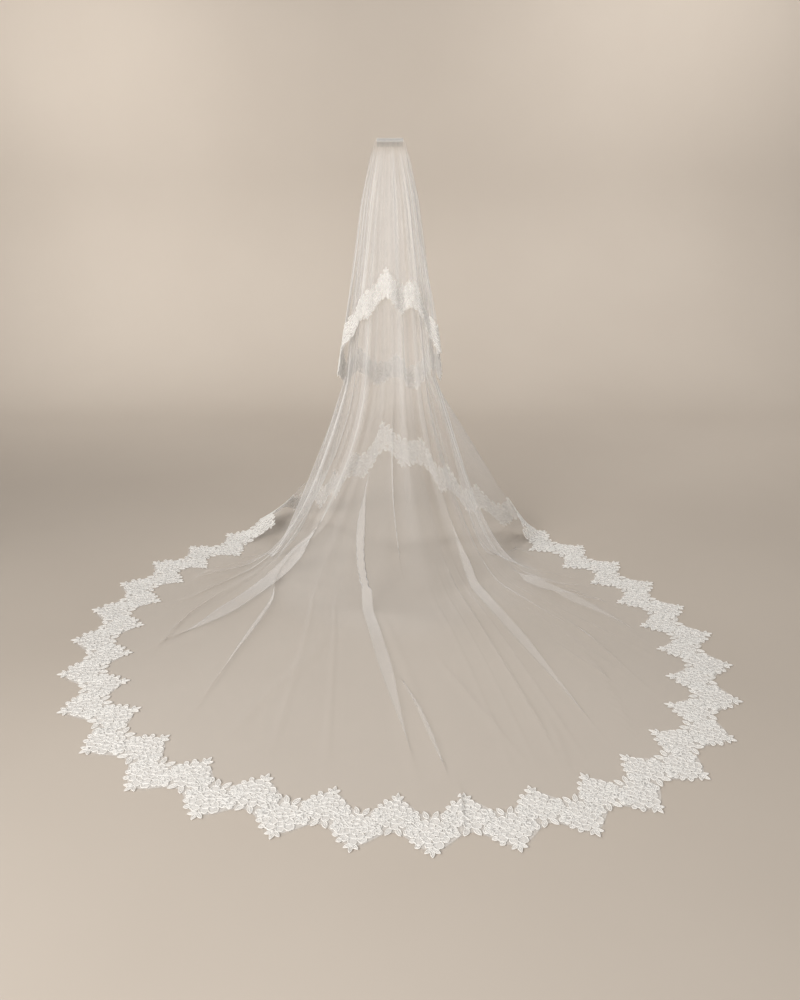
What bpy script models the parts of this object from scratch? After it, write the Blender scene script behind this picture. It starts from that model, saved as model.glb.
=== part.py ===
"""Two-tier cathedral veil on a hair comb, hanging from the comb with its train laid on the floor.

Metres, +Z up. The origin is the middle of the comb's spine, where the wearer's hair holds it.
The train is laid towards -Y. An azimuth is in degrees from -Y, growing towards +X.

Each tier is a closed tube of tulle with a lace edge all round. A point of a tier has a
place, counted in repeats of the lace round the hem, and a way down from the comb. On the
long tier the way is 1 at the bell where it starts to flare, 2 at the break where the cloth
lands, 3 on a line just inside the lace and 4 on the line of the lace's outer tips.
"""
import math

import bpy
from mathutils import Vector

# Cloth and seams
TULLE = 0.0012
LACE = 0.0016
GAP = 0.0003
SEAM_PULL = 0.00025

# Comb and its binding
COMB_WIDTH = 0.090
COMB_DEPTH = 0.003
SPINE_HEIGHT = 0.006
TOOTH_LENGTH = 0.022
TOOTH_COUNT = 21
TOOTH_ROOT_SHARE = 0.56
TOOTH_TIP_SHARE = 0.30
BINDING = 0.0012
BINDING_DROP = 0.008
BINDING_HALF_WIDTH = COMB_WIDTH / 2 + GAP + BINDING
BINDING_HALF_DEPTH = COMB_DEPTH / 2 + GAP + BINDING

# The comb hangs this far above the floor
FLOOR_DROP = 1.65

# Lace: the repeat's columns, and the distance of each from the line of the outer tips
COLUMNS = 6
OUTER_EDGE = (0.000, 0.034, 0.064, 0.074, 0.064, 0.034)
INNER_EDGE = (0.160, 0.172, 0.205, 0.235, 0.205, 0.172)
EYELET_ROWS = (0.40, 0.58)
EYELET_SHIFT = (0.000, 0.045, -0.045, 0.045, -0.045, 0.090)
EYELET_COLUMNS = (1, 3, 5)
LACE_MARGIN = 0.010
LACE_WIDTH = max(INNER_EDGE) + LACE_MARGIN
LACE_BANDS = 3

# Long tier
LONG_REPEATS = 36
COARSE = 3
BELL_DROP = 0.84

# Sections of the hanging cones, as a stadium's half width and half depth. The tops fit
# one round the other: the binding, the long tier, then the short tier.
HEAD_HALF_DEPTH = BINDING_HALF_DEPTH + 2 * GAP
HEAD_HALF_WIDTH = BINDING_HALF_WIDTH + HEAD_HALF_DEPTH
HEAD_STEP = TULLE + 2 * GAP
LONG_SECTIONS = (
    # drop, half_width, half_depth
    (0.000, HEAD_HALF_WIDTH, HEAD_HALF_DEPTH),
    (0.040, 0.0570, 0.0160),
    (0.200, 0.0890, 0.0520),
    (0.500, 0.1270, 0.1060),
    (0.840, 0.1650, 0.1560),
)
SHORT_SECTIONS = (
    # drop, half_width, half_depth
    (0.000, HEAD_HALF_WIDTH + HEAD_STEP, HEAD_HALF_DEPTH + HEAD_STEP),
    (0.040, 0.0640, 0.0250),
    (0.200, 0.1000, 0.0680),
    (0.450, 0.1360, 0.1200),
    (0.920, 0.2100, 0.2160),
)

# Fall lines of the long tier: where each leaves the bell, lands and meets the outer tips of
# the lace. A raised line hangs clear of the floor. A taut line runs straight, and a slack
# one hangs down before it lands.
FALL_LINES = (
    # place, bell_azimuth, break_azimuth, break_radius, hem_azimuth, hem_radius, hem_height, raised, taut
    (-17.60, -168.0, -160.0, 0.335, -154.5, 0.465, 0.190, 1.00, 1.0),
    (-16.40, -140.0, -151.0, 0.430, -148.3, 0.570, 0.080, 1.00, 1.0),
    (-14.80, -112.0, -132.0, 0.540, -141.0, 0.775, 0.000, 0.60, 1.0),
    (-13.00, -99.0, -107.0, 0.570, -115.5, 0.827, 0.000, 0.00, 0.8),
    (-11.00, -88.0, -93.0, 0.620, -93.6, 1.006, 0.000, 0.00, 0.5),
    (-8.50, -70.0, -85.0, 0.580, -67.8, 1.226, 0.000, 0.00, 0.2),
    (-5.70, -49.0, -78.0, 0.530, -42.8, 1.463, 0.000, 0.00, 0.0),
    (-4.00, -35.0, -70.0, 0.450, -27.6, 1.548, 0.000, 0.00, 0.0),
    (-2.00, -15.0, -40.0, 0.420, -10.8, 1.582, 0.000, 0.00, 0.0),
    (0.00, 3.0, -6.0, 0.420, 4.1, 1.622, 0.000, 0.00, 0.0),
    (1.50, 17.0, 26.0, 0.400, 15.8, 1.638, 0.000, 0.00, 0.0),
    (3.00, 31.0, 52.0, 0.385, 26.6, 1.631, 0.000, 0.00, 0.0),
    (5.00, 46.0, 65.0, 0.450, 41.8, 1.546, 0.000, 0.00, 0.0),
    (7.50, 66.0, 76.0, 0.530, 61.5, 1.325, 0.000, 0.00, 0.2),
    (9.00, 77.0, 81.0, 0.570, 73.7, 1.163, 0.000, 0.00, 0.4),
    (11.00, 91.0, 88.0, 0.600, 93.6, 0.958, 0.000, 0.00, 0.6),
    (12.00, 98.0, 96.0, 0.560, 105.1, 0.867, 0.000, 0.00, 0.8),
    (13.00, 102.0, 107.0, 0.510, 119.3, 0.795, 0.000, 0.00, 1.0),
    (13.60, 107.0, 118.0, 0.480, 124.6, 0.705, 0.000, 1.00, 1.0),
    (14.40, 120.0, 130.0, 0.448, 131.0, 0.581, 0.043, 1.00, 1.0),
    (15.30, 139.0, 145.0, 0.355, 140.2, 0.469, 0.120, 1.00, 1.0),
    (16.40, 160.0, 161.0, 0.270, 154.0, 0.367, 0.250, 1.00, 1.0),
    (17.25, 180.0, 180.0, 0.218, 180.0, 0.300, 0.350, 1.00, 1.0),
)
FAR_PLACE = 17.25
TANGENT_STEP = 0.30

# A raised line's break is this share of the way from the lace back to the bell. Its lace leans
# to the fall line instead of standing square to the hem, and so does that a little beside it.
RAISED_BREAK = 0.16
RAISED_LEAN = 0.85
RAISED_LEAD = 0.6

# The train lies flat between these places, and its front panel between the inner two
TRAIN_LEFT = -11
TRAIN_RIGHT = 11
TRAIN_SIDE = 5

# Share of a fall line's length that leaves the bell downward and meets the break flat
BELL_HOLD = 0.34
LANDING_HOLD = 0.26
BELL_FLARE = 0.90

# Large folds: each is a ridge down one fall line, highest at the break. It starts at a way
# above the break, and ends at a share of the train between the break and the lace. The
# half width is in repeats.
FOLDS = (
    # place, start_way, end_share, height, half_width
    (0.0, 1.15, 0.92, 0.050, 0.52),
    (1.5, 1.40, 0.80, 0.018, 0.34),
    (3.0, 1.05, 0.98, 0.060, 0.45),
    (4.5, 1.50, 0.90, 0.022, 0.34),
    (7.5, 1.10, 0.92, 0.055, 0.45),
    (9.5, 1.20, 0.85, 0.030, 0.42),
    (11.5, 1.10, 0.90, 0.030, 0.40),
    (-2.0, 1.30, 0.85, 0.022, 0.36),
    (-4.0, 1.10, 0.95, 0.050, 0.42),
    (-5.5, 1.05, 0.95, 0.060, 0.46),
    (-8.0, 1.20, 0.85, 0.035, 0.42),
    (-10.5, 1.20, 0.80, 0.026, 0.40),
)

# Depth of the small pleats to each side of the section
LONG_PLEATS = (
    # way, depth
    (0.00, 0.0000),
    (0.05, 0.0014),
    (0.30, 0.0032),
    (1.00, 0.0055),
    (1.60, 0.0050),
    (2.00, 0.0000),
)
PLEATS_FADE = 1.60
RAISED_PLEATS = 0.0060
SHORT_PLEATS = (
    # way, depth
    (0.00, 0.0000),
    (0.05, 0.0016),
    (0.30, 0.0036),
    (1.00, 0.0075),
)
PLEAT_VARIATION = 0.30
PLEAT_BEAT = 2.4

# Ways of the long tier's rings: coarse from the comb, then fine from the break to the lace
LONG_RINGS = (0.00, 0.045, 0.22, 0.55, 1.00, 1.28, 1.56, 1.80)
TRAIN_RING_SHARE = 0.45

# Short tier: drop of its lace's outer tips below the comb
SHORT_REPEATS = 14
SHORT_HEM = (
    # place, drop
    (0.0, 0.575),
    (1.3, 0.610),
    (2.4, 0.730),
    (3.5, 0.840),
    (5.0, 0.895),
    (6.2, 0.950),
    (7.4, 0.935),
    (9.0, 0.910),
    (10.5, 0.880),
    (11.6, 0.745),
    (12.7, 0.610),
)
SHORT_RINGS = (0.00, 0.07, 0.32, 0.66)
SHORT_LACE_SHARE = 0.68

# Colours and roughness
TULLE_IVORY = (0.86, 0.84, 0.79)
TULLE_ROUGHNESS = 0.55
LACE_IVORY = (0.90, 0.88, 0.83)
LACE_ROUGHNESS = 0.75
COMB_GREY = (0.62, 0.62, 0.60)
COMB_ROUGHNESS = 0.30
BINDING_ROUGHNESS = 0.70

# Step along a smooth form from which its normal is taken
NORMAL_STEP = 0.004


def direction(azimuth):
    """Unit vector along the floor at an azimuth in degrees."""
    turn = math.radians(azimuth)
    return Vector((math.sin(turn), -math.cos(turn), 0.0))


def hermite(share, span, low, high, low_slope, high_slope):
    """Cubic between two table rows with the given slopes."""
    square = share * share
    cube = square * share
    return (
        low * (2 * cube - 3 * square + 1)
        + high * (3 * square - 2 * cube)
        + span * low_slope * (cube - 2 * square + share)
        + span * high_slope * (cube - square)
    )


def closed_table(rows, period, turns=()):
    """Smooth reading of a table round a loop, whose first column is the place.

    A column in turns is an angle, which grows by 360 on each trip round.
    """
    count = len(rows)

    def row(index, column):
        trips, inside = divmod(index, count)
        if column == 0:
            return rows[inside][0] + trips * period
        return rows[inside][column] + (360.0 * trips if column in turns else 0.0)

    def slope(index, column):
        before = row(index, 0) - row(index - 1, 0)
        after = row(index + 1, 0) - row(index, 0)
        fall = (row(index, column) - row(index - 1, column)) / before
        rise = (row(index + 1, column) - row(index, column)) / after
        return (after * fall + before * rise) / (before + after)

    def read(column, place):
        index = 0
        while place < row(index, 0):
            index -= 1
        while place >= row(index + 1, 0):
            index += 1
        span = row(index + 1, 0) - row(index, 0)
        share = (place - row(index, 0)) / span
        return hermite(
            share, span, row(index, column), row(index + 1, column),
            slope(index, column), slope(index + 1, column),
        )

    return read


def open_table(rows, column, at):
    """Straight reading between the rows of an open table, held past its ends."""
    if at <= rows[0][0]:
        return rows[0][column]
    for low, high in zip(rows, rows[1:]):
        if at <= high[0]:
            share = (at - low[0]) / (high[0] - low[0])
            return low[column] + share * (high[column] - low[column])
    return rows[-1][column]


def stadium(half_width, half_depth, share):
    """Point of a stadium outline at a share of its length, from the middle of its -Y side."""
    radius = min(half_depth, half_width)
    straight = half_width - radius
    arc = math.pi * radius
    length = 4 * straight + 2 * arc
    run = (share % 1.0) * length
    side = 1.0
    if run > length / 2:
        run = length - run
        side = -1.0
    if run <= straight:
        return side * run, -half_depth
    if run <= straight + arc:
        turn = (run - straight) / radius
        return side * (straight + radius * math.sin(turn)), -half_depth * math.cos(turn)
    return side * (2 * straight + arc - run), half_depth


def section_point(sections, drop, share):
    """Point of a hanging cone's section at a drop below the comb."""
    half_width = open_table(sections, 1, drop)
    half_depth = open_table(sections, 2, drop)
    x, y = stadium(half_width, half_depth, share)
    return Vector((x, y, -drop))


def pleat(depth, column, beat):
    """Outward shift of one pleat column, with its depth a little uneven from pleat to pleat."""
    uneven = 1.0 + PLEAT_VARIATION * math.sin(PLEAT_BEAT * column)
    return depth * uneven * math.cos(math.pi * beat)


fall_line = closed_table(FALL_LINES, LONG_REPEATS, turns=(1, 2, 4))


def share_raised(place):
    """How far a fall line hangs clear of the floor, from 0 to 1."""
    return min(1.0, max(0.0, fall_line(7, place)))


def bell_point(place):
    """Point of a fall line on the bell, at the widest section of the hanging cone."""
    return section_point(LONG_SECTIONS, BELL_DROP, fall_line(1, place) / 360.0)


def hem_point(place):
    """Point on the line of the long tier's outer lace tips."""
    height = max(0.0, fall_line(6, place))
    return fall_line(5, place) * direction(fall_line(4, place)) + Vector((0, 0, height - FLOOR_DROP))


def floor_break(place):
    """Point of the floor where a fall line lands."""
    return fall_line(3, place) * direction(fall_line(2, place)) - Vector((0, 0, FLOOR_DROP))


def lace_point(place):
    """Point on the line just inside the lace, square to the hem where it lies on the floor."""
    tip = hem_point(place)
    along = (hem_point(place + TANGENT_STEP) - hem_point(place - TANGENT_STEP)).normalized()
    raised = share_raised(place)
    inward = (floor_break(place) - tip).lerp(bell_point(place) - tip, raised)
    beside = max(share_raised(place - RAISED_LEAD), raised, share_raised(place + RAISED_LEAD))
    lean = RAISED_LEAN * beside
    inward -= (1.0 - lean) * inward.dot(along) * along
    return tip + LACE_WIDTH * inward.normalized()


def break_point(place):
    """Point where a fall line lands, or a little above the lace where it hangs clear."""
    top = lace_point(place)
    hanging = top.lerp(bell_point(place), RAISED_BREAK)
    return floor_break(place).lerp(hanging, share_raised(place))


def long_point(place, way):
    """Point of the long tier's smooth form, before its pleats and folds."""
    if way <= 1.0:
        return section_point(LONG_SECTIONS, way * BELL_DROP, fall_line(1, place) / 360.0)
    top = lace_point(place)
    if way >= 3.0:
        return top.lerp(hem_point(place), way - 3.0)
    land = break_point(place)
    if way >= 2.0:
        return land.lerp(top, way - 2.0)
    start = bell_point(place)
    reach = (land - start).length
    down = Vector((BELL_FLARE * start.x, BELL_FLARE * start.y, -1)).normalized()
    down = down.lerp((land - start).normalized(), min(1.0, max(0.0, fall_line(8, place))))
    leave = start + BELL_HOLD * reach * down
    arrive = land - LANDING_HOLD * reach * (top - land).normalized()
    share = way - 1.0
    rest = 1.0 - share
    return (
        rest ** 3 * start + 3 * rest ** 2 * share * leave
        + 3 * rest * share ** 2 * arrive + share ** 3 * land
    )


def fold_height(place, way):
    """Height of the large folds at a point of the long tier, none under its lace."""
    height = 0.0
    for centre, start, end, rise, half_width in FOLDS:
        aside = abs(place - centre)
        if aside >= half_width or way <= start:
            continue
        if way < 2.0:
            along = (way - start) / (2.0 - start)
        else:
            along = max(0.0, 1.0 - (way - 2.0) / end)
        across = 0.5 + 0.5 * math.cos(math.pi * aside / half_width)
        height += rise * math.sin(0.5 * math.pi * along) * across
    return height


def outward_of(point_at, place, way):
    """Unit normal of a smooth form on its outer side, from small steps along it."""
    across = point_at(place + NORMAL_STEP, way) - point_at(place - NORMAL_STEP, way)
    down = point_at(place, way + NORMAL_STEP) - point_at(place, max(0.0, way - NORMAL_STEP))
    return down.cross(across).normalized()


def long_surface(place, way):
    """Point of the long tier's inner face, with its pleats and folds, never below the floor."""
    depth = open_table(LONG_PLEATS, 1, way)
    if way > PLEATS_FADE:
        depth += (RAISED_PLEATS - depth) * share_raised(place)
    beat = 2.0 * place
    shift = pleat(depth, round(beat), beat) + fold_height(place, way)
    point = long_point(place, way) + shift * outward_of(long_point, place, way)
    point.z = max(point.z, -FLOOR_DROP)
    return point


def long_lace_way(place, distance):
    """Way at a distance back from the line of the outer tips."""
    return 4.0 - distance / LACE_WIDTH


short_hem = closed_table(SHORT_HEM, SHORT_REPEATS)


def short_surface(place, way):
    """Point of the short tier's inner face, with its pleats."""
    drop = way * short_hem(1, place)

    def smooth(at, down):
        return section_point(SHORT_SECTIONS, down * short_hem(1, at), at / SHORT_REPEATS)

    column = COLUMNS * place
    shift = pleat(open_table(SHORT_PLEATS, 1, way), round(column), column)
    point = smooth(place, way)
    return point + shift * outward_of(smooth, place, way) if drop > 0 else point


def short_lace_way(place, distance):
    """Way at a distance up from the line of the short tier's outer tips."""
    return 1.0 - SHORT_LACE_SHARE * distance / short_hem(1, place)


class Net:
    """Points shared by the pieces of one tier, so that lace follows the tulle under it."""

    def __init__(self):
        self.points = []
        self.pieces = {}
        self.seams = set()

    def add(self, point):
        self.points.append(point)
        return len(self.points) - 1

    def triangle(self, piece, a, b, c):
        self.pieces.setdefault(piece, []).append((a, b, c))

    def quad(self, piece, upper_left, lower_left, lower_right, upper_right):
        self.triangle(piece, upper_left, lower_left, lower_right)
        self.triangle(piece, upper_left, lower_right, upper_right)

    def normals(self):
        """Outward normal of each point, upward where only lace on the floor uses it."""
        sums = [Vector() for _ in self.points]
        for piece, triangles in self.pieces.items():
            if "lace" in piece:
                continue
            for a, b, c in triangles:
                for corner, after, before in ((a, b, c), (b, c, a), (c, a, b)):
                    ahead = self.points[after] - self.points[corner]
                    behind = self.points[before] - self.points[corner]
                    sums[corner] += ahead.angle(behind) * ahead.cross(behind).normalized()
        up = Vector((0, 0, 1))
        return [total.normalized() if total.length > 0 else up for total in sums]

    def edges(self, piece):
        """Directed edges of a piece's triangles."""
        found = {}
        for a, b, c in self.pieces[piece]:
            found.update({(a, b): c, (b, c): a, (c, a): b})
        return found

    def seam_pull(self, piece):
        """Direction away from the neighbouring pieces at each point on a seam of a piece."""
        own = self.edges(piece)
        beyond = set()
        for other in self.pieces:
            if other != piece and ("lace" in other) == ("lace" in piece):
                beyond.update((end, start) for start, end in self.edges(other))
        pull = {}
        for (start, end), third in own.items():
            if (end, start) in own:
                continue
            if (start, end) in beyond or (start in self.seams and end in self.seams):
                along = (self.points[end] - self.points[start]).normalized()
                inward = self.points[third] - self.points[start]
                inward = (inward - inward.dot(along) * along).normalized()
                for corner in (start, end):
                    pull[corner] = pull.get(corner, Vector()) + inward
        return {corner: total.normalized() for corner, total in pull.items()}

    def wall(self, piece, low, high):
        """Closed wall of one piece between two distances out from the net's points."""
        normals = self.normals()
        triangles = self.pieces[piece]
        pull = self.seam_pull(piece)
        used = sorted({corner for face in triangles for corner in face})
        slot = {corner: index for index, corner in enumerate(used)}
        base = [self.points[corner] + SEAM_PULL * pull.get(corner, Vector()) for corner in used]
        inner = [point + low * normals[corner] for point, corner in zip(base, used)]
        outer = [point + high * normals[corner] for point, corner in zip(base, used)]
        count = len(used)
        faces = []
        for a, b, c in triangles:
            faces.append((count + slot[a], count + slot[b], count + slot[c]))
            faces.append((slot[c], slot[b], slot[a]))
        own = self.edges(piece)
        for start, end in own:
            if (end, start) in own:
                continue
            s, e = slot[start], slot[end]
            if start < end:
                faces += [(count + e, count + s, s), (count + e, s, e)]
            else:
                faces += [(count + s, s, e), (e, count + e, count + s)]
        return inner + outer, faces


def material(name, colour, roughness):
    """Principled material of one piece."""
    made = bpy.data.materials.new(name)
    made.use_nodes = True
    shader = made.node_tree.nodes["Principled BSDF"]
    shader.inputs["Base Color"].default_value = (*colour, 1.0)
    shader.inputs["Roughness"].default_value = roughness
    made.diffuse_color = (*colour, 1.0)
    return made


def place_object(name, points, faces, colour, roughness, sharp=60.0):
    """Object of one piece from its points and faces, shaded smooth up to the sharp angle."""
    mesh = bpy.data.meshes.new(name)
    mesh.from_pydata([tuple(point) for point in points], [], faces)
    mesh.validate()
    mesh.shade_smooth()
    mesh.set_sharp_from_angle(angle=math.radians(sharp))
    mesh.materials.append(material(name + "_finish", colour, roughness))
    made = bpy.data.objects.new(name, mesh)
    bpy.context.scene.collection.objects.link(made)
    return made


def side_of(place, half):
    """Name ending of the half of a tier that a place lies in."""
    return "right" if 0 <= place < half else "left"


def lace_band(net, prefix, rows, column, side):
    """Lace between two columns: three bands, the middle one cut through at the eyelets."""
    here, there = rows[column], rows[(column + 1) % len(rows)]
    for band in range(LACE_BANDS):
        if band == 1 and column % COLUMNS in EYELET_COLUMNS:
            continue
        net.quad(f"{prefix}_lace_{side}", here[band], here[band + 1], there[band + 1], there[band])


def lace_columns(net, surface, way_of, column, hem_drawn, inner_drawn):
    """Four points of the lace in one column: inner edge, two eyelet rows and outer edge."""
    phase = column % COLUMNS
    place = column / COLUMNS
    inner, outer = INNER_EDGE[phase], OUTER_EDGE[phase]
    points = [inner_drawn]
    for share in reversed(EYELET_ROWS):
        shifted = place + EYELET_SHIFT[phase]
        points.append(net.add(surface(shifted, way_of(shifted, outer + share * (inner - outer)))))
    points.append(hem_drawn)
    return points


def build_long_tier():
    """Net of the long tier: its fall, its train and its lace."""
    net = Net()
    total = LONG_REPEATS * COLUMNS
    first = TRAIN_LEFT * COLUMNS
    last = TRAIN_RIGHT * COLUMNS
    half_low = round((FAR_PLACE - LONG_REPEATS) * COLUMNS / COARSE) * COARSE
    columns = list(range(half_low, half_low + total))

    def ring(way, step):
        return {c: net.add(long_surface(c / COLUMNS, way)) for c in columns if c % step == 0}

    def near(row, column):
        """Point of a ring at a column, counted round the tier."""
        return row[half_low + (column - half_low) % total]

    coarse_rings = [ring(way, COARSE) for way in LONG_RINGS]
    break_ring = ring(2.0, 1)
    train_ring = {}
    for c in range(first, last + 1):
        train_ring[c] = net.add(long_surface(c / COLUMNS, 2.0 + TRAIN_RING_SHARE))
    top_ring = ring(3.0, 1)
    hem_ring = {}
    lace_rows = []
    for c in columns:
        place = c / COLUMNS
        phase = c % COLUMNS
        inner = net.add(long_surface(place, long_lace_way(place, INNER_EDGE[phase])))
        hem_ring[c] = net.add(long_surface(place, long_lace_way(place, OUTER_EDGE[phase])))
        lace_rows.append(lace_columns(net, long_surface, long_lace_way, c, hem_ring[c], inner))

    for c in (first, last):
        row = lace_rows[c - half_low]
        net.seams.update(row)
        net.seams.update((break_ring[c], train_ring[c], top_ring[c]))

    for c in columns:
        place = (c + 0.5) / COLUMNS
        side = side_of(place, LONG_REPEATS)
        fall = f"long_tier_fall_{side}"
        if c % COARSE == 0:
            for upper, lower in zip(coarse_rings, coarse_rings[1:]):
                net.quad(fall, upper[c], lower[c], near(lower, c + COARSE), near(upper, c + COARSE))
            upper = coarse_rings[-1]
            left, right = upper[c], near(upper, c + COARSE)
            low = [near(break_ring, c + step) for step in range(COARSE + 1)]
            net.triangle(fall, left, low[0], low[1])
            net.quad(fall, left, low[1], low[2], right)
            net.triangle(fall, right, low[2], low[3])
        if first <= c < last:
            if abs(place) < TRAIN_SIDE:
                train = "long_tier_train_front"
            else:
                train = f"long_tier_train_{side}"
            for upper, lower in ((break_ring, train_ring), (train_ring, top_ring), (top_ring, hem_ring)):
                net.quad(train, upper[c], lower[c], lower[c + 1], upper[c + 1])
        else:
            position = c - half_low
            here, there = lace_rows[position], lace_rows[(position + 1) % total]
            after = near(top_ring, c + 1)
            net.quad(fall, break_ring[c], top_ring[c], after, near(break_ring, c + 1))
            net.quad(fall, top_ring[c], here[0], there[0], after)
            for band in range(LACE_BANDS):
                net.quad(fall, here[band], here[band + 1], there[band + 1], there[band])
        lace_band(net, "long_tier", lace_rows, c - half_low, side)
    return net


def build_short_tier():
    """Net of the short tier and its lace."""
    net = Net()
    total = SHORT_REPEATS * COLUMNS
    rings = []
    for way in SHORT_RINGS:
        rings.append([net.add(short_surface(c / COLUMNS, way * short_lace_way(c / COLUMNS, LACE_WIDTH)))
                      for c in range(total)])
    lace_rows = []
    for c in range(total):
        place = c / COLUMNS
        phase = c % COLUMNS
        inner = net.add(short_surface(place, short_lace_way(place, INNER_EDGE[phase])))
        outer = net.add(short_surface(place, short_lace_way(place, OUTER_EDGE[phase])))
        lace_rows.append(lace_columns(net, short_surface, short_lace_way, c, outer, inner))
    rings.append([row[0] for row in lace_rows])
    for c in range(total):
        side = side_of((c + 0.5) / COLUMNS, SHORT_REPEATS / 2)
        tulle = f"short_tier_tulle_{side}"
        after = (c + 1) % total
        for upper, lower in zip(rings, rings[1:]):
            net.quad(tulle, upper[c], lower[c], lower[after], upper[after])
        for band in range(LACE_BANDS):
            here, there = lace_rows[c], lace_rows[after]
            net.quad(tulle, here[band], here[band + 1], there[band + 1], there[band])
        lace_band(net, "short_tier", lace_rows, c, side)
    return net


def build_comb():
    """Comb: a spine with tapered teeth, cut from one sheet."""
    half = COMB_WIDTH / 2
    top = SPINE_HEIGHT / 2
    pitch = COMB_WIDTH / TOOTH_COUNT
    outline = [(half, top), (-half, top)]
    for tooth in range(TOOTH_COUNT):
        centre = -half + (tooth + 0.5) * pitch
        root = TOOTH_ROOT_SHARE * pitch / 2
        tip = TOOTH_TIP_SHARE * pitch / 2
        if tooth == 0:
            outline.append((-half, -top))
        outline.append((centre - root, -top))
        outline.append((centre - tip, -top - TOOTH_LENGTH))
        outline.append((centre + tip, -top - TOOTH_LENGTH))
        outline.append((centre + root, -top))
    outline.append((half, -top))
    count = len(outline)
    front = [Vector((x, -COMB_DEPTH / 2, z)) for x, z in outline]
    back = [Vector((x, COMB_DEPTH / 2, z)) for x, z in outline]
    faces = [tuple(range(count)), tuple(reversed(range(count, 2 * count)))]
    for index in range(count):
        after = (index + 1) % count
        faces.append((index, count + index, count + after, after))
    return front + back, faces


def build_binding():
    """Narrow binding folded over the spine, open below where the teeth come out."""
    ceiling = SPINE_HEIGHT / 2 + GAP
    rings = (
        (BINDING, ceiling),
        (BINDING, -BINDING_DROP),
        (0.0, -BINDING_DROP),
        (0.0, ceiling + BINDING),
    )
    points = []
    for inset, height in rings:
        width = BINDING_HALF_WIDTH - inset
        depth = BINDING_HALF_DEPTH - inset
        points += [Vector((x * width, y * depth, height)) for x, y in ((-1, -1), (1, -1), (1, 1), (-1, 1))]
    faces = [(3, 2, 1, 0), (12, 13, 14, 15)]
    for level in range(0, len(points) - 4, 4):
        for step in range(4):
            after = (step + 1) % 4
            faces.append((level + step, level + after, level + 4 + after, level + 4 + step))
    return points, faces


def build_veil():
    """Objects of both tiers, the comb and its binding."""
    for net in (build_long_tier(), build_short_tier()):
        for piece in net.pieces:
            if "lace" in piece:
                points, faces = net.wall(piece, TULLE + GAP, TULLE + GAP + LACE)
                place_object(piece, points, faces, LACE_IVORY, LACE_ROUGHNESS)
            else:
                points, faces = net.wall(piece, 0.0, TULLE)
                place_object(piece, points, faces, TULLE_IVORY, TULLE_ROUGHNESS)
    place_object("comb", *build_comb(), COMB_GREY, COMB_ROUGHNESS, sharp=30.0)
    place_object("comb_binding", *build_binding(), TULLE_IVORY, BINDING_ROUGHNESS, sharp=40.0)


for leftover in list(bpy.data.objects):
    bpy.data.objects.remove(leftover, do_unlink=True)
build_veil()
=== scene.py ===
"""Looks of the two-tier veil: sheer tulle, corded floral lace, comb, floor, light and camera.

Metres, +Z up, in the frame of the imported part. The forms of both tiers are worked out from the
same tables as the solids. A point has a place, in lace repeats round the hem, and a way down
from the comb. On the long tier way 1 is the bell, 2 the break where the cloth lands, 3 a line
just inside the lace and 4 the line of the lace's outer tips.
"""
import math

import bpy
import numpy as np
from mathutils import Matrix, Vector


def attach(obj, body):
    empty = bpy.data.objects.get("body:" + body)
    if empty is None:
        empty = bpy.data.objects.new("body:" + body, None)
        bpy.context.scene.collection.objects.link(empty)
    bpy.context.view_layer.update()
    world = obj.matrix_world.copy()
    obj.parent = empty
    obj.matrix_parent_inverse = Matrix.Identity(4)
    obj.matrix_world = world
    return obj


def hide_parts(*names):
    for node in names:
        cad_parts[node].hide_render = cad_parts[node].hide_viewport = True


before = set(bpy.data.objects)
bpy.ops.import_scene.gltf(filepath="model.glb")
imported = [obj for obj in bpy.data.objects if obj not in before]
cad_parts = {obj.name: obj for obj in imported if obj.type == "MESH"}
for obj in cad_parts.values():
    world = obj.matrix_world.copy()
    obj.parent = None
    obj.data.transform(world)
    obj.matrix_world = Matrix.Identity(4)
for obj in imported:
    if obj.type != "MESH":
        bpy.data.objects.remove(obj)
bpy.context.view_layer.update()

SEED = 11

# The same values as in the solids' source
FLOOR_DROP = 1.65
REPEAT = 0.216
LACE_WIDTH = 0.245
LONG_REPEATS = 36
SHORT_REPEATS = 14
BELL_DROP = 0.84
TANGENT_STEP = 0.30
RAISED_BREAK = 0.16
RAISED_LEAN = 0.85
RAISED_LEAD = 0.6
BELL_HOLD = 0.34
LANDING_HOLD = 0.26
BELL_FLARE = 0.90
SHORT_LACE_SHARE = 0.68

# The short tier's lace is drawn larger than its scallops: one repeat spans this many places.
SHORT_SPAN = 1.75
SHORT_SHIFT = -0.25
SHORT_SIDE_REPEATS = 4

# Way on the short tier from which the cloth is drawn in to the scalloped cut
SHORT_LACE_START = 0.72

# Relief of the cloth. The shares are of the pleats' depth, and the rises are in metres.
PLEAT_SHARE = 0.12
LONG_GATHER, LONG_WAVE = 0.30, 0.55
SHORT_GATHER, SHORT_WAVE = 0.40, 0.45
RAISED_DEPTH = 0.006
CREASE_RISE, CREASE_ONSET = 0.0032, 0.6
SWELL_RISE = 0.004

# Cover of one layer of tulle seen straight on, and how much of it comes and goes with the gathers
TULLE_COVER = 0.105
BAND_DEPTH = 0.42
LONG_COLUMNS, SHORT_COLUMNS = 1188, 560

# Lift of the lace off its tulle, in metres
LONG_LACE_LIFT, SHORT_LACE_LIFT = 0.0016, 0.0014

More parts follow.
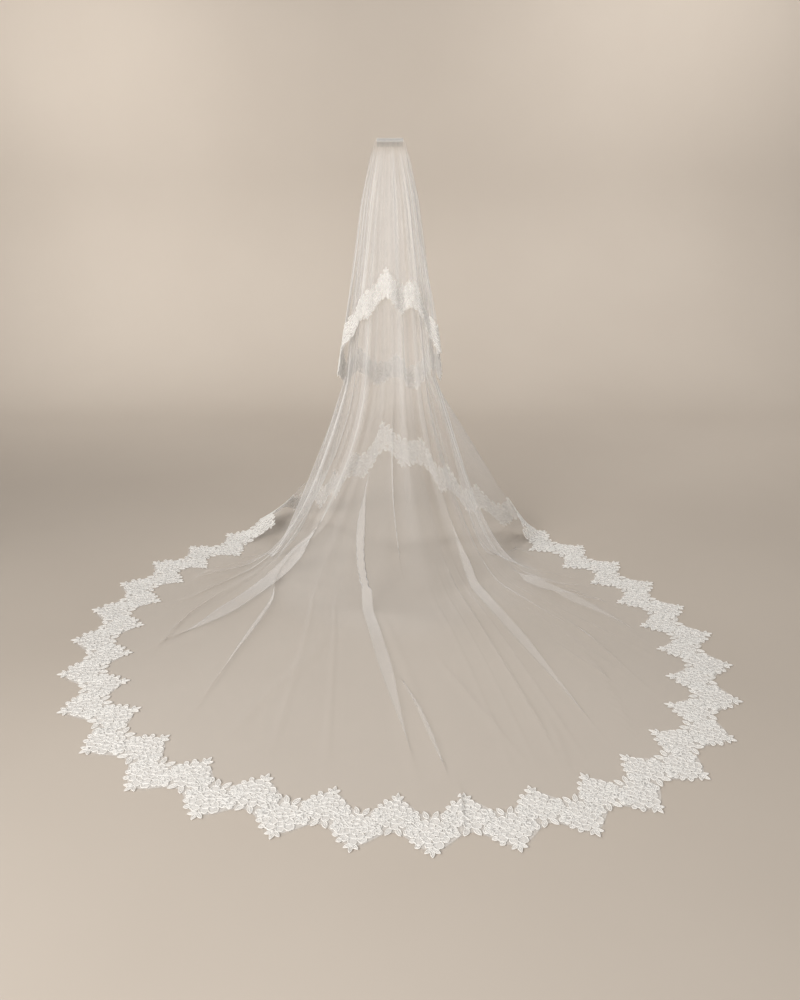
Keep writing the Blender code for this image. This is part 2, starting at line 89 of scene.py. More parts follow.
LONG_SECTIONS = np.array((
    # drop, half_width, half_depth
    (0.000, 0.0492, 0.0036),
    (0.040, 0.0570, 0.0160),
    (0.200, 0.0890, 0.0520),
    (0.500, 0.1270, 0.1060),
    (0.840, 0.1650, 0.1560),
))
SHORT_SECTIONS = np.array((
    # drop, half_width, half_depth
    (0.000, 0.0510, 0.0054),
    (0.040, 0.0640, 0.0250),
    (0.200, 0.1000, 0.0680),
    (0.450, 0.1360, 0.1200),
    (0.920, 0.2100, 0.2160),
))
FALL_LINES = (
    # place, bell_azimuth, break_azimuth, break_radius, hem_azimuth, hem_radius, hem_height, raised, taut
    (-17.60, -168.0, -160.0, 0.335, -154.5, 0.465, 0.190, 1.00, 1.0),
    (-16.40, -140.0, -151.0, 0.430, -148.3, 0.570, 0.080, 1.00, 1.0),
    (-14.80, -112.0, -132.0, 0.540, -141.0, 0.775, 0.000, 0.60, 1.0),
    (-13.00, -99.0, -107.0, 0.570, -115.5, 0.827, 0.000, 0.00, 0.8),
    (-11.00, -88.0, -93.0, 0.620, -93.6, 1.006, 0.000, 0.00, 0.5),
    (-8.50, -70.0, -85.0, 0.580, -67.8, 1.226, 0.000, 0.00, 0.2),
    (-5.70, -49.0, -78.0, 0.530, -42.8, 1.463, 0.000, 0.00, 0.0),
    (-4.00, -35.0, -70.0, 0.450, -27.6, 1.548, 0.000, 0.00, 0.0),
    (-2.00, -15.0, -40.0, 0.420, -10.8, 1.582, 0.000, 0.00, 0.0),
    (0.00, 3.0, -6.0, 0.420, 4.1, 1.622, 0.000, 0.00, 0.0),
    (1.50, 17.0, 26.0, 0.400, 15.8, 1.638, 0.000, 0.00, 0.0),
    (3.00, 31.0, 52.0, 0.385, 26.6, 1.631, 0.000, 0.00, 0.0),
    (5.00, 46.0, 65.0, 0.450, 41.8, 1.546, 0.000, 0.00, 0.0),
    (7.50, 66.0, 76.0, 0.530, 61.5, 1.325, 0.000, 0.00, 0.2),
    (9.00, 77.0, 81.0, 0.570, 73.7, 1.163, 0.000, 0.00, 0.4),
    (11.00, 91.0, 88.0, 0.600, 93.6, 0.958, 0.000, 0.00, 0.6),
    (12.00, 98.0, 96.0, 0.560, 105.1, 0.867, 0.000, 0.00, 0.8),
    (13.00, 102.0, 107.0, 0.510, 119.3, 0.795, 0.000, 0.00, 1.0),
    (13.60, 107.0, 118.0, 0.480, 124.6, 0.705, 0.000, 1.00, 1.0),
    (14.40, 120.0, 130.0, 0.448, 131.0, 0.581, 0.043, 1.00, 1.0),
    (15.30, 139.0, 145.0, 0.355, 140.2, 0.469, 0.120, 1.00, 1.0),
    (16.40, 160.0, 161.0, 0.270, 154.0, 0.367, 0.250, 1.00, 1.0),
    (17.25, 180.0, 180.0, 0.218, 180.0, 0.300, 0.350, 1.00, 1.0),
)
SHORT_HEM = (
    # place, drop
    (0.0, 0.575), (1.3, 0.610), (2.4, 0.730), (3.5, 0.840), (5.0, 0.895), (6.2, 0.950),
    (7.4, 0.935), (9.0, 0.910), (10.5, 0.880), (11.6, 0.745), (12.7, 0.610),
)
LONG_PLEATS = np.array((
    # way, depth
    (0.00, 0.0000), (0.05, 0.0014), (0.30, 0.0032), (1.00, 0.0055), (1.60, 0.0050), (2.00, 0.0000),
))
SHORT_PLEATS = np.array((
    # way, depth
    (0.00, 0.0000), (0.05, 0.0016), (0.30, 0.0036), (1.00, 0.0075),
))

# Laid-over folds of the long tier. A route is the fold line's places at ways down the cloth.
# The half width is in metres, and lap goes from 0 for a ridge to 1 for a full lap.
FOLDS = (
    # route, full_way, taper_way, height, half_width, lap
    (((1.45, -3.4), (1.70, -4.4), (2.15, -5.6), (2.72, -7.0), (3.00, -7.5)), 1.75, 2.30, 0.022, 0.056, 1.0),
    (((2.20, -7.9), (2.60, -7.7), (2.88, -6.8), (3.00, -6.6)), 2.45, 2.70, 0.012, 0.020, 0.6),
    (((1.40, -2.9), (1.60, -3.2), (1.85, -3.8), (2.06, -4.1), (2.50, -4.3), (3.05, -4.4)),
     1.80, 2.30, 0.020, 0.018, 1.0),
    (((1.20, -1.6), (1.35, -1.5), (1.80, -0.3), (2.10, -0.2), (3.05, -0.1)), 1.55, 2.30, 0.012, 0.027, 1.0),
    (((2.30, 0.0), (2.60, 0.25), (3.02, 0.4)), 2.50, 2.75, 0.010, 0.016, 0.6),
    (((1.40, 4.6), (1.75, 4.2), (1.90, 3.8), (3.04, 3.5)), 1.80, 2.30, 0.020, 0.020, 1.0),
    (((1.85, 8.9), (2.00, 8.3), (3.04, 8.2)), 2.05, 2.40, 0.018, 0.026, 1.0),
    (((2.05, 8.4), (2.16, 8.5), (3.05, 9.7)), 2.25, 2.60, 0.014, 0.021, 0.0),
    (((2.20, 0.9), (2.42, 1.1), (2.98, 1.8)), 2.50, 2.70, 0.012, 0.021, 0.0),
    (((2.70, 2.8), (3.02, 2.3)), 2.86, 2.92, 0.012, 0.018, 0.0),
    (((2.40, 5.8), (2.70, 5.1), (3.03, 3.9)), 2.70, 2.85, 0.013, 0.021, 0.0),
    (((2.42, 4.8), (2.84, 5.1)), 2.56, 2.66, 0.010, 0.018, 0.0),
    (((2.20, 6.7), (2.54, 6.3), (2.98, 5.6)), 2.50, 2.70, 0.013, 0.021, 0.0),
    (((2.10, -1.5), (2.32, -1.9), (2.74, -3.1), (2.98, -3.5)), 2.40, 2.65, 0.013, 0.022, 0.0),
    (((1.00, 0.0), (1.25, 0.2), (1.55, 0.6), (1.90, 0.9)), 1.30, 1.50, 0.009, 0.014, 0.5),
    (((1.60, -10.2), (2.90, -10.5)), 2.00, 2.30, 0.013, 0.022, 0.4),
    (((1.50, 6.3), (1.90, 5.9), (2.80, 6.4)), 1.90, 2.10, 0.011, 0.022, 0.3),
    (((1.60, -8.7), (1.90, -9.0), (2.90, -8.8)), 1.95, 2.30, 0.011, 0.020, 0.3),
    (((1.70, 9.8), (2.10, 9.4), (2.98, 10.6)), 2.05, 2.40, 0.011, 0.022, 0.2),
    (((1.80, -12.2), (2.95, -12.4)), 2.05, 2.40, 0.010, 0.020, 0.2),
    (((2.85, 0.52), (3.05, 0.46), (3.80, 0.40)), 3.05, 3.35, 0.012, 0.009, 0.0),
)

# Standing folds of the short tier's hem. A negative height goes inward.
SHORT_FOLDS = (
    # place, height, half_width in places
    (2.45, 0.024, 0.22), (6.20, -0.030, 0.16), (11.55, 0.022, 0.22),
)

# How thick the gathers lie over one another, as a factor of the tulle's cover at ways down it
LONG_THICKNESS = (
    (0.0, 0.03, 0.05, 0.2, 0.6, 1.1, 1.8, 2.2),
    (0.2, 0.25, 0.9, 1.4, 1.3, 1.6, 1.1, 0.45),
)
SHORT_THICKNESS = (
    (0.0, 0.045, 0.075, 0.25, 0.7, 1.0),
    (0.2, 0.25, 0.9, 1.4, 1.25, 1.2),
)


def smooth_step(low, high, value):
    share = np.clip((value - low) / (high - low), 0.0, 1.0)
    return share * share * (3 - 2 * share)


def unit(vectors):
    return vectors / np.maximum(np.linalg.norm(vectors, axis=-1, keepdims=True), 1e-9)


def direction(azimuth):
    turn = np.radians(azimuth)
    return np.stack([np.sin(turn), -np.cos(turn), np.zeros_like(turn)], axis=-1)


class Loop:
    """Smooth reading of a table round a loop, whose first column is the place."""

    def __init__(self, rows, period, turns=()):
        trips = []
        for trip in range(-2, 3):
            copy = np.array(rows, float)
            copy[:, 0] += trip * period
            for column in turns:
                copy[:, column] += 360.0 * trip
            trips.append(copy)
        self.rows = np.concatenate(trips)
        spans = np.diff(self.rows[:, 0])[:, None]
        rates = np.diff(self.rows, axis=0) / spans
        before, after = spans[:-1], spans[1:]
        inner = (after * rates[:-1] + before * rates[1:]) / (before + after)
        self.slopes = np.concatenate([rates[:1], inner, rates[-1:]])

    def read(self, column, place):
        places = self.rows[:, 0]
        index = np.clip(np.searchsorted(places, place, side="right") - 1, 0, len(places) - 2)
        span = places[index + 1] - places[index]
        share = (place - places[index]) / span
        square, cube = share ** 2, share ** 3
        values, slopes = self.rows[:, column], self.slopes[:, column]
        return (
            values[index] * (2 * cube - 3 * square + 1)
            + values[index + 1] * (3 * square - 2 * cube)
            + span * slopes[index] * (cube - 2 * square + share)
            + span * slopes[index + 1] * (cube - square)
        )


def section_point(sections, drop, share):
    """Point of a hanging cone's stadium section at a drop and a share of its outline."""
    half_width = np.interp(drop, sections[:, 0], sections[:, 1])
    half_depth = np.interp(drop, sections[:, 0], sections[:, 2])
    radius = np.minimum(half_depth, half_width)
    straight = half_width - radius
    arc = math.pi * radius
    length = 4 * straight + 2 * arc
    run = np.mod(share, 1.0) * length
    side = np.where(run > length / 2, -1.0, 1.0)
    run = np.where(run > length / 2, length - run, run)
    turn = (run - straight) / radius
    flat, round_ = run <= straight, run <= straight + arc
    beyond = np.where(round_, straight + radius * np.sin(turn), 2 * straight + arc - run)
    x = np.where(flat, run, beyond)
    y = np.where(flat, -half_depth, np.where(round_, -half_depth * np.cos(turn), half_depth))
    return np.stack([side * x, y, -drop], axis=-1)


fall = Loop(FALL_LINES, LONG_REPEATS, turns=(1, 2, 4))
short_hem = Loop(SHORT_HEM, SHORT_REPEATS)


def share_raised(place):
    return np.clip(fall.read(7, place), 0.0, 1.0)


def bell_point(place):
    return section_point(LONG_SECTIONS, np.full_like(place, BELL_DROP), fall.read(1, place) / 360.0)


def hem_point(place):
    point = fall.read(5, place)[..., None] * direction(fall.read(4, place))
    point[..., 2] = np.maximum(0.0, fall.read(6, place)) - FLOOR_DROP
    return point


def floor_break(place):
    point = fall.read(3, place)[..., None] * direction(fall.read(2, place))
    point[..., 2] = -FLOOR_DROP
    return point


def lace_point(place):
    """Point on the line just inside the lace."""
    tip = hem_point(place)
    along = unit(hem_point(place + TANGENT_STEP) - hem_point(place - TANGENT_STEP))
    raised = share_raised(place)[..., None]
    inward = (1 - raised) * (floor_break(place) - tip) + raised * (bell_point(place) - tip)
    beside = np.maximum(share_raised(place - RAISED_LEAD), share_raised(place + RAISED_LEAD))[..., None]
    lean = RAISED_LEAN * np.maximum(raised, beside)
    inward = inward - (1 - lean) * (inward * along).sum(-1, keepdims=True) * along
    return tip + LACE_WIDTH * unit(inward)


def long_smooth(place, way):
    """Point of the long tier before its pleats and folds."""
    turned = fall.read(1, place) / 360.0
    cone = section_point(LONG_SECTIONS, np.minimum(way, 1.0) * BELL_DROP, turned)
    raised = share_raised(place)[..., None]
    top, tip, start = lace_point(place), hem_point(place), bell_point(place)
    hanging = top + RAISED_BREAK * (start - top)
    land = (1 - raised) * floor_break(place) + raised * hanging
    chord = land - start
    reach = np.linalg.norm(chord, axis=-1, keepdims=True)
    flare = BELL_FLARE * start[..., :2]
    down = unit(np.stack([flare[..., 0], flare[..., 1], -np.ones_like(place)], -1))
    taut = np.clip(fall.read(8, place), 0.0, 1.0)[..., None]
    down = (1 - taut) * down + taut * unit(chord)
    leave = start + BELL_HOLD * reach * down
    arrive = land - LANDING_HOLD * reach * unit(top - land)
    share = np.clip(way - 1.0, 0.0, 1.0)[..., None]
    rest = 1 - share
    drop = (rest ** 3 * start + 3 * rest ** 2 * share * leave
            + 3 * rest * share ** 2 * arrive + share ** 3 * land)
    way = way[..., None]
    train = land + (way - 2.0) * (top - land)
    lace = top + (way - 3.0) * (tip - top)
    below = np.where(way < 2.0, drop, np.where(way < 3.0, train, lace))
    return np.where(way <= 1.0, cone, below)


def short_smooth(place, way):
    return section_point(SHORT_SECTIONS, way * short_hem.read(1, place), place / SHORT_REPEATS)


def frame_at(smooth, place, way):
    """Point and outward normal of a smooth form."""
    step = 0.004
    across = smooth(place + step, way) - smooth(place - step, way)
    down = smooth(place, way + step) - smooth(place, np.maximum(0.0, way - step))
    return smooth(place, way), unit(np.cross(down, across))


def pleats(depth, column, beat):
    """Even pleats of the solids, a little uneven from one to the next."""
    return depth * (1.0 + 0.30 * np.sin(2.4 * column)) * np.cos(math.pi * beat)


def ripple(place, period, low, high, power, seed):
    """Random ripples round a loop, of unit spread, from a band of whole wave counts."""
    source = np.random.default_rng(seed)
    counts = np.arange(low, high)
    sizes = counts.astype(float) ** -power * source.uniform(0.3, 1.0, len(counts))
    phases = source.uniform(0, 2 * math.pi, len(counts))
    table = np.linspace(0, period, 8192)
    wave = sum(size * np.cos(2 * math.pi * count * table / period + phase)
               for size, count, phase in zip(sizes, counts, phases))
    wave /= wave.std()
    return np.interp(np.mod(place, period), table, wave)


def fold_over(place, way):
    """Place and height after the laid-over folds."""
    moved, height = place.copy(), np.zeros_like(place)
    ways = np.linspace(0, 4, 161)
    for route, full, taper, rise, half_width, lap in FOLDS:
        at, centres = np.transpose(route)
        middle = np.interp(ways, at, centres)
        apart = long_smooth(middle + 0.05, ways) - long_smooth(middle - 0.05, ways)
        spacing = np.interp(way, ways, np.linalg.norm(apart, axis=-1) / 0.1)
        strength = smooth_step(at[0], full, way) * (1 - smooth_step(taper, at[-1], way))
        half = half_width * (0.35 + 0.65 * strength) / spacing
        aside = place - np.interp(way, at, centres)
        aside = np.mod(aside + LONG_REPEATS / 2, LONG_REPEATS) - LONG_REPEATS / 2
        across = aside / half
        inside = (np.abs(across) < 2) * strength
        window = np.cos(math.pi * np.clip(across, -2, 2) / 4) ** 2
        moved -= inside * lap * 2.1 * half * np.sin(math.pi * across / 2) * window
        height += inside * rise * np.exp(-((across + 0.5) / 0.6) ** 2) * window
    return moved, height


def long_surface(place, way):
    """Point and outward normal of the long tier's cloth."""
    moved, height = fold_over(place, way)
    depth = np.interp(way, LONG_PLEATS[:, 0], LONG_PLEATS[:, 1])
    raised = share_raised(place)
    depth = np.where(way > 1.6, depth + (RAISED_DEPTH - depth) * raised, depth)
    depth = depth * (1 - 0.7 * smooth_step(2.5, 3.05, way))
    beat = 2.0 * place
    drift = place + 0.25 * smooth_step(1.3, 2.2, way) * np.sin(1.7 * way + 0.8 * place)
    height += PLEAT_SHARE * pleats(depth, np.round(beat), beat)
    height += LONG_GATHER * depth * ripple(drift, LONG_REPEATS, 10, 60, 1.0, SEED)
    height += LONG_WAVE * depth * ripple(place, LONG_REPEATS, 5, 16, 0.3, SEED + 6)
    lying = smooth_step(1.6, 2.1, way) * (1 - smooth_step(2.75, 3.05, way)) * (1 - raised)
    crease = ripple(drift, LONG_REPEATS, 18, 84, 0.3, SEED + 1)
    height += lying * CREASE_RISE * np.maximum(0.0, crease - CREASE_ONSET) ** 1.5
    slow = ripple(place + 0.6 * np.sin(2.2 * way), LONG_REPEATS, 6, 24, 0.5, SEED + 2)
    height += lying * SWELL_RISE * np.maximum(0.0, slow)
    point, normal = frame_at(long_smooth, moved, way)
    point = point + height[..., None] * normal
    point[..., 2] = np.maximum(point[..., 2], -FLOOR_DROP)
    return point, normal


def short_surface(place, way):
    """Point and outward normal of the short tier's cloth, smoother where the lace is sewn on."""
    depth = np.interp(way, SHORT_PLEATS[:, 0], SHORT_PLEATS[:, 1])
    column = 6 * place
    sewn = smooth_step(0.40, SHORT_LACE_START, way)
    height = (PLEAT_SHARE - 0.10 * sewn) * pleats(depth, np.round(column), column)
    height += (SHORT_GATHER - 0.30 * sewn) * depth * ripple(place, SHORT_REPEATS, 9, 48, 0.9, SEED + 3)
    height += (SHORT_WAVE + 0.35 * sewn) * depth * ripple(place, SHORT_REPEATS, 4, 12, 0.3, SEED + 7)
    around = np.mod(place, SHORT_REPEATS)
    for middle, rise, half in SHORT_FOLDS:
        height += rise * smooth_step(0.35, 0.85, way) * np.exp(-((around - middle) / half) ** 2)
    point, normal = frame_at(short_smooth, place, way)
    return point + height[..., None] * normal, normal


def mesh_object(name, points, faces, materials, slots=None, flat=None):
    """Mesh piece from arrays. flat gives each point's place on the uncut cloth, in metres."""
    mesh = bpy.data.meshes.new(name)
    faces = np.asarray(faces, np.int32)
    count, size = faces.shape
    mesh.vertices.add(len(points))
    mesh.vertices.foreach_set("co", np.asarray(points, np.float32).ravel())
    mesh.loops.add(count * size)
    mesh.loops.foreach_set("vertex_index", faces.ravel())
    mesh.polygons.add(count)
    mesh.polygons.foreach_set("loop_start", np.arange(0, count * size, size, dtype=np.int32))
    mesh.polygons.foreach_set("use_smooth", np.ones(count, bool))
    for material in materials:
        mesh.materials.append(material)
    if slots is not None:
        mesh.polygons.foreach_set("material_index", np.asarray(slots, np.int32))
    if flat is not None:
        layer = mesh.uv_layers.new(name="flat")
        layer.data.foreach_set("uv", np.asarray(flat, np.float32)[faces.ravel()].ravel())
    mesh.update(calc_edges=True)
    mesh.validate()
    made = bpy.data.objects.new(name, mesh)
    bpy.context.scene.collection.objects.link(made)
    return made


def grid_faces(columns, rows):
    """Quads of a closed band of columns, each with that many rows, facing outward."""
    column = np.arange(columns)[:, None]
    row = np.arange(rows - 1)[None, :]
    here, there = column * rows + row, (column + 1) % columns * rows + row
    return np.stack([here, here + 1, there + 1, there], axis=-1).reshape(-1, 4)


def outer_edge(repeat):
    """Distance of the cloth's cut edge from the line of outer tips, in metres."""
    return 0.050 - 0.036 * np.cos(2 * math.pi * repeat)


# Shaders


def new_material(name, colour, roughness):
    made = bpy.data.materials.new(name)
    made.use_nodes = True
    shader = made.node_tree.nodes["Principled BSDF"]
    shader.inputs["Base Color"].default_value = (*colour, 1.0)
    shader.inputs["Roughness"].default_value = roughness
    made.diffuse_color = (*colour, 1.0)
    return made, made.node_tree.nodes, made.node_tree.links, shader


def math_node(nodes, links, operation, first, second=None):
    made = nodes.new("ShaderNodeMath")
    made.operation = operation
    for socket, value in zip(made.inputs, (first, second)):
        if value is None:
            continue
        if isinstance(value, (int, float)):
            socket.default_value = value
        else:
            links.new(value, socket)
    return made.outputs[0]


def noise_node(nodes, links, vector, scale, detail=3.0):
    made = nodes.new("ShaderNodeTexNoise")
    made.inputs["Scale"].default_value = scale
    made.inputs["Detail"].default_value = detail
    links.new(vector, made.inputs["Vector"])
    return made.outputs["Fac"]


def tint(nodes, links, factor, low, high):
    made = nodes.new("ShaderNodeMix")
    made.data_type = "RGBA"
    links.new(factor, made.inputs["Factor"])
    made.inputs["A"].default_value = (*low, 1.0)
    made.inputs["B"].default_value = (*high, 1.0)
    return made.outputs["Result"]


def mottle(nodes, links, shader, scale, low, high):
    """Base colour that drifts between two tones. Returns the coordinates it is drawn in."""
    place = nodes.new("ShaderNodeTexCoord").outputs["Object"]
    cloud = noise_node(nodes, links, place, scale)
    links.new(tint(nodes, links, cloud, low, high), shader.inputs["Base Color"])
    return place


def bump(nodes, links, shader, height, strength, distance):
    made = nodes.new("ShaderNodeBump")
    made.inputs["Strength"].default_value = strength
    made.inputs["Distance"].default_value = distance
    links.new(height, made.inputs["Height"])
    links.new(made.outputs["Normal"], shader.inputs["Normal"])


def net_pattern(nodes, links, scale):
    """Fine net from the flat cloth's own coordinates: 1 on a thread and 0 in a hole."""
    flat = nodes.new("ShaderNodeUVMap")
    flat.uv_map = "flat"
    cells = nodes.new("ShaderNodeTexVoronoi")
    cells.voronoi_dimensions = "2D"
    cells.feature = "DISTANCE_TO_EDGE"
    cells.inputs["Scale"].default_value = scale
    cells.inputs["Randomness"].default_value = 0.25
    links.new(flat.outputs["UV"], cells.inputs["Vector"])
    ramp = nodes.new("ShaderNodeMapRange")
    ramp.inputs["From Min"].default_value = 0.05
    ramp.inputs["From Max"].default_value = 0.22
    ramp.inputs["To Min"].default_value = 1.0
    ramp.inputs["To Max"].default_value = 0.0
    links.new(cells.outputs["Distance"], ramp.inputs["Value"])
    return ramp.outputs["Result"]


def tulle_material(name, cover):
    """Sheer tulle that covers more of what is behind it where it is seen edge on."""
    made, nodes, links, shader = new_material(name, (0.69, 0.675, 0.66), 0.60)
    mottle(nodes, links, shader, 7.0, (0.65, 0.635, 0.62), (0.73, 0.715, 0.70))
    gather = nodes.new("ShaderNodeAttribute")
    gather.attribute_name = "gather"
    threads = net_pattern(nodes, links, 420.0)
    density = math_node(nodes, links, "MULTIPLY_ADD", threads, 0.5 * cover)
    density.node.inputs[2].default_value = 0.8 * cover
    density = math_node(nodes, links, "MULTIPLY", density, gather.outputs["Fac"])
    clear = math_node(nodes, links, "SUBTRACT", 1.0, density)
    weight = nodes.new("ShaderNodeLayerWeight")
    slant = math_node(nodes, links, "SUBTRACT", 1.0, weight.outputs["Facing"])
    slant = math_node(nodes, links, "MAXIMUM", slant, 0.09)
    passes = math_node(nodes, links, "DIVIDE", 1.0, slant)
    seen = math_node(nodes, links, "POWER", clear, passes)
    links.new(math_node(nodes, links, "SUBTRACT", 1.0, seen), shader.inputs["Alpha"])
    shader.inputs["Sheen Weight"].default_value = 0.25
    shader.inputs["Sheen Roughness"].default_value = 0.4
    shader.inputs["Specular IOR Level"].default_value = 0.25
    return made


def let_through(made, nodes, links, shader, colour, share):
    """Thin thread lets a share of the light behind it through."""
    back = nodes.new("ShaderNodeBsdfTranslucent")
    back.inputs["Color"].default_value = (*colour, 1.0)
    mix = nodes.new("ShaderNodeMixShader")
    mix.inputs["Fac"].default_value = share
    links.new(shader.outputs["BSDF"], mix.inputs[1])
    links.new(back.outputs["BSDF"], mix.inputs[2])
    links.new(mix.outputs["Shader"], nodes["Material Output"].inputs["Surface"])


def cord_material():
    made, nodes, links, shader = new_material("lace_cord", (0.81, 0.795, 0.77), 0.72)
    place = mottle(nodes, links, shader, 30.0, (0.76, 0.745, 0.72), (0.86, 0.845, 0.825))
    twist = noise_node(nodes, links, place, 900.0, 2.0)
    bump(nodes, links, shader, twist, 0.35, 0.0006)
    shader.inputs["Sheen Weight"].default_value = 0.2
    shader.inputs["Specular IOR Level"].default_value = 0.3
    let_through(made, nodes, links, shader, (0.90, 0.885, 0.86), 0.42)
    return made


def net_material(name, least, most):
    """Net between the cords, which covers from least in its holes to most on its threads."""
    made, nodes, links, shader = new_material(name, (0.86, 0.84, 0.81), 0.80)
    place = mottle(nodes, links, shader, 60.0, (0.74, 0.72, 0.70), (0.84, 0.825, 0.80))
    threads = net_pattern(nodes, links, 330.0)
    uneven = noise_node(nodes, links, place, 45.0)
    worn = math_node(nodes, links, "MULTIPLY", threads, uneven)
    cover = math_node(nodes, links, "MULTIPLY_ADD", worn, 2 * (most - least))
    cover.node.inputs[2].default_value = least
    links.new(cover, shader.inputs["Alpha"])
    bump(nodes, links, shader, threads, 0.4, 0.0005)
    return made


def comb_material():
    # The comb's dark grey base colour is painted shade: it stands in for the shadow the comb sits in under
    # the tulle. The mottle over it is tone that differs at random.
    made, nodes, links, shader = new_material("comb_painted_shade_dark", (0.15, 0.147, 0.14), 0.40)
    place = mottle(nodes, links, shader, 90.0, (0.12, 0.118, 0.112), (0.19, 0.187, 0.18))
    bump(nodes, links, shader, noise_node(nodes, links, place, 700.0), 0.15, 0.0004)
    return made


def binding_material():
    made, nodes, links, shader = new_material("binding_ribbon", (0.88, 0.865, 0.83), 0.55)
    place = nodes.new("ShaderNodeTexCoord").outputs["Object"]
    weave = nodes.new("ShaderNodeTexWave")
    weave.bands_direction = "X"
    weave.inputs["Scale"].default_value = 260.0
    weave.inputs["Distortion"].default_value = 1.2
    links.new(place, weave.inputs["Vector"])
    links.new(tint(nodes, links, weave.outputs["Fac"], (0.82, 0.80, 0.76), (0.93, 0.915, 0.885)),
              shader.inputs["Base Color"])
    bump(nodes, links, shader, weave.outputs["Fac"], 0.4, 0.0004)
    cover = math_node(nodes, links, "MULTIPLY_ADD", weave.outputs["Fac"], 0.10)
    cover.node.inputs[2].default_value = 0.12
    links.new(cover, shader.inputs["Alpha"])
    shader.inputs["Sheen Weight"].default_value = 0.3
    return made


def studio_material():
    made, nodes, links, shader = new_material("studio_paper", (0.36, 0.32, 0.28), 0.90)
    mottle(nodes, links, shader, 1.1, (0.345, 0.303, 0.262), (0.378, 0.335, 0.292))
    shader.inputs["Specular IOR Level"].default_value = 0.1
    # The sheet has one side, so that it doesn't hide the veil from a camera behind it.
    side = nodes.new("ShaderNodeNewGeometry")
    clear = nodes.new("ShaderNodeBsdfTransparent")
    mixed = nodes.new("ShaderNodeMixShader")
    links.new(side.outputs["Backfacing"], mixed.inputs[0])
    links.new(shader.outputs["BSDF"], mixed.inputs[1])
    links.new(clear.outputs["BSDF"], mixed.inputs[2])
    links.new(mixed.outputs[0], nodes["Material Output"].inputs["Surface"])
    return made


# Lace motif


CORD, FILL, NET = 0, 1, 2


def heading(angle):
    return np.array([math.sin(angle), math.cos(angle)])


class Motif:
    """Flat drawing of lace, in metres along the hem, back from the tips and up from the cloth."""

    def __init__(self):
        self.points, self.faces, self.slots, self.count = [], [], [], 0

    def put(self, points, faces, slot):
        self.points.append(points)
        self.faces.append(np.asarray(faces) + self.count)
        self.slots.append(np.full(len(faces), slot))
        self.count += len(points)

    def cord(self, path, width, lift, closed=True):
        """Raised cord along a path."""
        ahead = np.roll(path, -1, 0) - np.roll(path, 1, 0)
        if not closed:
            ahead[0], ahead[-1] = path[1] - path[0], path[-1] - path[-2]
        ahead = unit(ahead)
        aside = np.stack([-ahead[:, 1], ahead[:, 0]], -1)
        rows = []
        for offset, rise in ((-0.5, 0.0), (-0.22, 0.75), (0.22, 0.75), (0.5, 0.0)):
            flat = path + offset * width * aside
            rows.append(np.column_stack([flat, np.full(len(path), lift + rise * width)]))
        count = len(path)
        points = np.stack(rows, 1).reshape(-1, 3)
        faces = []
        for index in range(count if closed else count - 1):
            here, there = 4 * index, 4 * ((index + 1) % count)
            for strip in range(3):
                faces.append((here + strip, here + strip + 1, there + strip + 1, there + strip))
        self.put(points, faces, CORD)

    def fill(self, path, lift):
        """Net inside a closed path, as quads from its middle."""
        middle = path.mean(0)
        inner = middle + 0.45 * (path - middle)
        count = len(path)
        lifts = np.r_[np.full(count, lift), np.full(count, lift + 0.0006)]
        points = np.column_stack([np.vstack([path, inner]), lifts])
        faces = []
        for index in range(count):
            after = (index + 1) % count
            faces.append((index, after, count + after, count + index))
        half = count // 2
        for index in range(half - 1):
            faces.append((count + index, count + index + 1, count + (count - 2 - index) % count,
                          count + (count - 1 - index) % count))
        self.put(points, faces, FILL)

    def petal(self, centre, angle, spread, low, high, width, lift):
        """Petal from low to high off a centre, with a shallow notch at its tip."""
        share = np.linspace(0.0, 1.0, 11)
        turn = angle + spread * (share - 0.5)
        reach = low + (high - low) * np.sin(math.pi * share) ** 0.6
        reach = reach * (1 - 0.07 * np.exp(-((share - 0.5) / 0.12) ** 2))
        path = centre + reach[:, None] * np.stack([np.sin(turn), np.cos(turn)], -1)
        self.cord(path, width, lift)
        self.fill(path, lift)

    def blossom(self, centre, radius, turn, rings):
        """Rings of petals, each given by a count and the shares of the radius it lies between."""
        centre = np.array(centre)
        for level, (count, low, high) in enumerate(rings):
            for index in range(count):
                angle = turn + 0.7 * level + 2 * math.pi * index / count
                uneven = math.sin(3.1 * index + 2.0 * level + 9.0 * turn)
                spread = 2.1 * math.pi / count * (1 + 0.12 * uneven)
                self.petal(centre, angle + 0.35 * uneven / count, spread,
                           low * radius, high * radius * (1 + 0.06 * uneven),
                           0.0029 - 0.0002 * level, 0.0006 + 0.0004 * level)

    def leaf(self, base, angle, length, width, lift=0.0010):
        """Leaf with a vein, from its base."""
        base = np.array(base)
        share = np.linspace(0.0, 1.0, 8)
        ahead = heading(angle)
        aside = np.array([-ahead[1], ahead[0]])
        half = width * np.sin(math.pi * share ** 0.85) ** 0.8
        spine = base + length * share[:, None] * ahead
        bulge = 0.5 * half[:, None] * aside
        path = np.vstack([spine + bulge, (spine - bulge)[-2:0:-1]])
        self.cord(path, 0.0025, lift)
        self.fill(path, lift)
        self.cord(spine[1:-1], 0.0015, lift + 0.0003, closed=False)

    def arrays(self):
        return np.vstack(self.points), np.vstack(self.faces), np.concatenate(self.slots)


# Rings of petals: count, and inner and outer share of the blossom's radius
ROSE = ((10, 0.64, 1.00), (7, 0.34, 0.68), (4, 0.06, 0.38))
BUD = ((5, 0.24, 1.00),)
SPRAY = ((4, 0.18, 1.00),)
ROSE_RADIUS = 0.057
OUTWARD, INWARD = math.pi, 0.0

# Place of the eyelets to both sides of a repeat's middle
EYELET = (0.054, 0.100)
EYELET_RADIUS = 0.009


